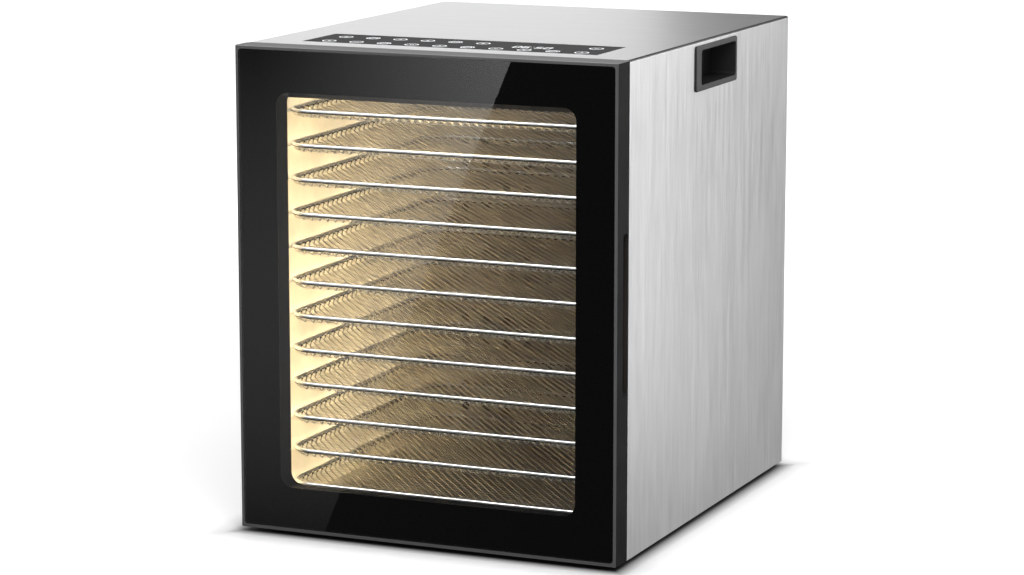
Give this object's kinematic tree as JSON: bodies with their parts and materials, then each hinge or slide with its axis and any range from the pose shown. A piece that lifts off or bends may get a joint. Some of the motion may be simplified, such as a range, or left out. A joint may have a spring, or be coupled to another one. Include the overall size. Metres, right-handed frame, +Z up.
{
  "type": "food dehydrator",
  "caption": "Cabinet food dehydrator with a glass door hinged on the left, sliding mesh trays, a rear fan heater, a top touch panel and recessed side handles.",
  "frame": {"origin": "on the floor under the middle of the appliance's box", "axes": "+X to the right seen from the front, +Y to the back, +Z up"},
  "size_m": [0.3486, 0.415, 0.418],
  "materials": {
    "brushed_steel_case": "fine brushed",
    "chamber_steel": "satin",
    "tray_steel": "polished wire",
    "zinc_sheet": "galvanised",
    "rear_sheet": "fine textured powder coat",
    "frame_steel": "satin",
    "hinge_steel": "bright",
    "screw_steel": "zinc plated",
    "door_plastic": "fine moulded",
    "door_glass": "polished",
    "black_print": "opaque black behind glass",
    "bush_plastic": "natural acetal",
    "magnet_ferrite": "sintered",
    "panel_gloss": "high gloss",
    "handle_plastic": "fine moulded",
    "foot_rubber": "matt",
    "board_green": "solder mask",
    "display_case": "moulded",
    "inlet_plastic": "moulded",
    "impeller_aluminium": "pressed",
    "motor_steel": "zinc plated",
    "heater_sheath": "heat darkened",
    "post_ceramic": "unglazed",
    "cutout_body": "phenolic",
    "lamp_board": "white coated",
    "lamp_lens": "frosted",
    "lead_sleeve": "silicone sleeve",
    "ribbon_sleeve": "flat cable"
  },
  "bodies": {
    "cabinet": {"case_wrap": "brushed_steel_case", "liner_left": "chamber_steel", "liner_right": "chamber_steel", "liner_top": "chamber_steel", "liner_floor": "chamber_steel", "air_baffle": "chamber_steel", "base_pan": "zinc_sheet", "fan_bracket": "zinc_sheet", "rear_panel": "rear_sheet", "rear_lower_plate": "rear_sheet", "front_frame": "frame_steel", "upper_hinge_bracket": "frame_steel", "lower_hinge_bracket": "frame_steel", "hinge_pins": "hinge_steel", "striker_plates": "hinge_steel", "temp_probe": "hinge_steel", "cabinet_screws": "screw_steel", "touch_panel": "panel_gloss", "handle_cup_left": "handle_plastic", "handle_cup_right": "handle_plastic", "rubber_feet": "foot_rubber", "control_board": "board_green", "power_board": "board_green", "display_module": "display_case", "mains_inlet": "inlet_plastic", "fan_motor": "motor_steel", "heater_coil": "heater_sheath", "heater_posts": "post_ceramic", "thermal_cutout": "cutout_body", "chamber_lamp": "lamp_board", "lamp_cover": "lamp_lens", "mains_leads": "lead_sleeve", "heater_leads": "lead_sleeve", "fan_leads": "lead_sleeve", "panel_ribbon": "ribbon_sleeve"},
    "door": {"door_frame": "door_plastic", "door_glass": "door_glass", "glass_tape": "black_print", "door_inner_cover": "door_plastic", "door_screws": "screw_steel", "door_magnets": "magnet_ferrite", "hinge_bushes": "bush_plastic"},
    "fan": {"fan_impeller": "impeller_aluminium", "fan_shaft": "hinge_steel", "fan_nut": "hinge_steel"},
    "tray_01": {"tray_01": "tray_steel"},
    "tray_02": {"tray_02": "tray_steel"},
    "tray_03": {"tray_03": "tray_steel"},
    "tray_04": {"tray_04": "tray_steel"},
    "tray_05": {"tray_05": "tray_steel"},
    "tray_06": {"tray_06": "tray_steel"},
    "tray_07": {"tray_07": "tray_steel"},
    "tray_08": {"tray_08": "tray_steel"},
    "tray_09": {"tray_09": "tray_steel"},
    "tray_10": {"tray_10": "tray_steel"},
    "tray_11": {"tray_11": "tray_steel"},
    "tray_12": {"tray_12": "tray_steel"}
  },
  "joints": [
    {"name": "door_hinge", "type": "hinge", "parent": "cabinet", "child": "door", "pos_m": [-0.1645, -0.1995, 0.21115], "axis": [0, 0, -1], "range_deg": [0, 100]},
    {"name": "fan_spin", "type": "hinge", "parent": "cabinet", "child": "fan", "pos_m": [0, 0.151, 0.196], "axis": [0, 1, 0], "continuous": true},
    {"name": "tray_01_slide", "type": "slide", "parent": "cabinet", "child": "tray_01", "axis": [0, -1, 0], "range_m": [0, 0.007]},
    {"name": "tray_02_slide", "type": "slide", "parent": "cabinet", "child": "tray_02", "axis": [0, -1, 0], "range_m": [0, 0.007]},
    {"name": "tray_03_slide", "type": "slide", "parent": "cabinet", "child": "tray_03", "axis": [0, -1, 0], "range_m": [0, 0.007]},
    {"name": "tray_04_slide", "type": "slide", "parent": "cabinet", "child": "tray_04", "axis": [0, -1, 0], "range_m": [0, 0.007]},
    {"name": "tray_05_slide", "type": "slide", "parent": "cabinet", "child": "tray_05", "axis": [0, -1, 0], "range_m": [0, 0.007]},
    {"name": "tray_06_slide", "type": "slide", "parent": "cabinet", "child": "tray_06", "axis": [0, -1, 0], "range_m": [0, 0.007]},
    {"name": "tray_07_slide", "type": "slide", "parent": "cabinet", "child": "tray_07", "axis": [0, -1, 0], "range_m": [0, 0.007]},
    {"name": "tray_08_slide", "type": "slide", "parent": "cabinet", "child": "tray_08", "axis": [0, -1, 0], "range_m": [0, 0.007]},
    {"name": "tray_09_slide", "type": "slide", "parent": "cabinet", "child": "tray_09", "axis": [0, -1, 0], "range_m": [0, 0.007]},
    {"name": "tray_10_slide", "type": "slide", "parent": "cabinet", "child": "tray_10", "axis": [0, -1, 0], "range_m": [0, 0.007]},
    {"name": "tray_11_slide", "type": "slide", "parent": "cabinet", "child": "tray_11", "axis": [0, -1, 0], "range_m": [0, 0.007]},
    {"name": "tray_12_slide", "type": "slide", "parent": "cabinet", "child": "tray_12", "axis": [0, -1, 0], "range_m": [0, 0.007]}
  ]
}
